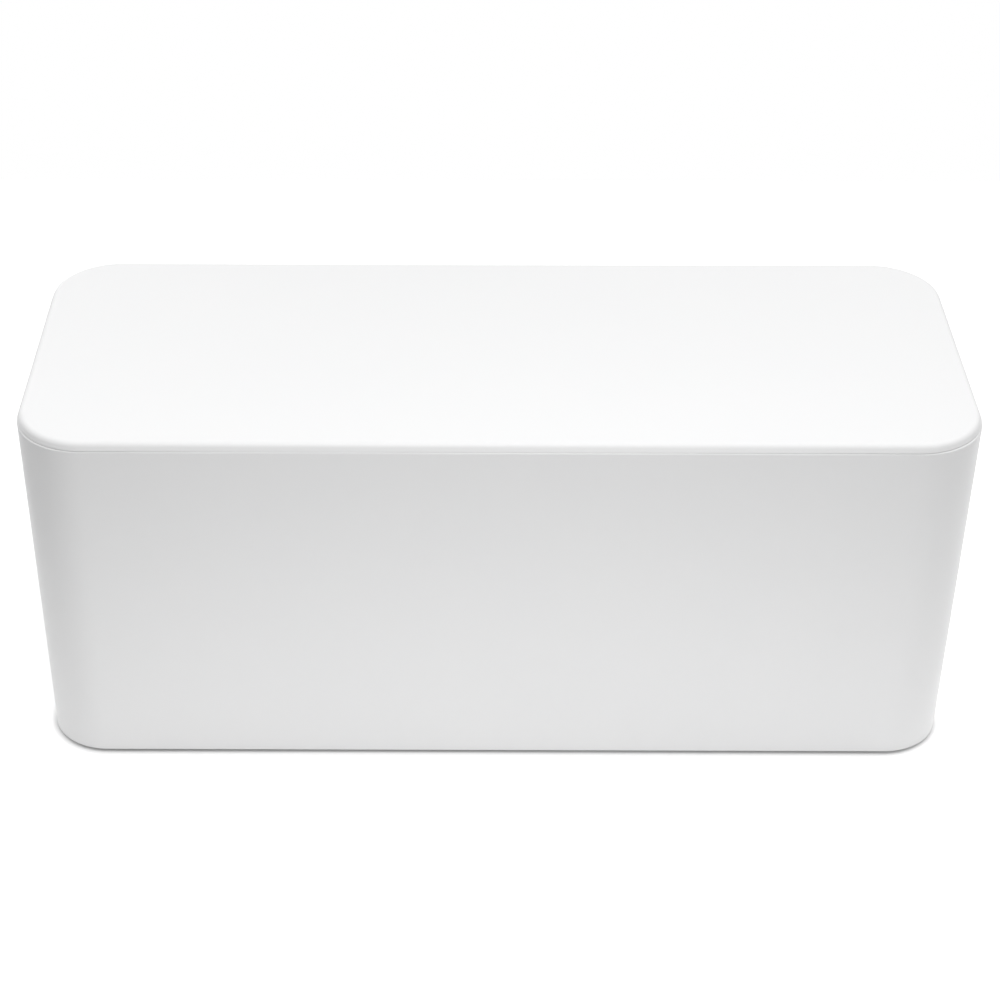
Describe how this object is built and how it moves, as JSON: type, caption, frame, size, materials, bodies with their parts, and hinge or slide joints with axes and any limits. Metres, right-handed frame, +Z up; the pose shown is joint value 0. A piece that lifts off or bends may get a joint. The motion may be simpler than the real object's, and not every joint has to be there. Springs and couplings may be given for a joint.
{
  "type": "cable management box",
  "caption": "Plain rectangular box with rounded corners and a flush lift-off lid, which hides a power strip and spare cable and lets the cables out through a notch in each end.",
  "frame": {"origin": "on the table under the middle of the box, at the undersides of the feet", "axes": "+X along the length to the right, +Y to the back, +Z up, out of the lid"},
  "size_m": [0.4, 0.16, 0.162],
  "materials": {
    "white_plastic": "white moulded plastic with a smooth satin surface",
    "foot_rubber": "plain grey rubber, matt"
  },
  "bodies": {
    "box": {"tub": "white_plastic", "foot_front_left": "foot_rubber", "foot_front_right": "foot_rubber", "foot_rear_left": "foot_rubber", "foot_rear_right": "foot_rubber"},
    "lid": {"lid": "white_plastic"}
  },
  "joints": [
    {"name": "lid_lift", "type": "slide", "parent": "box", "child": "lid", "axis": [0, 0, 1], "range_m": [0, 0.2]}
  ]
}
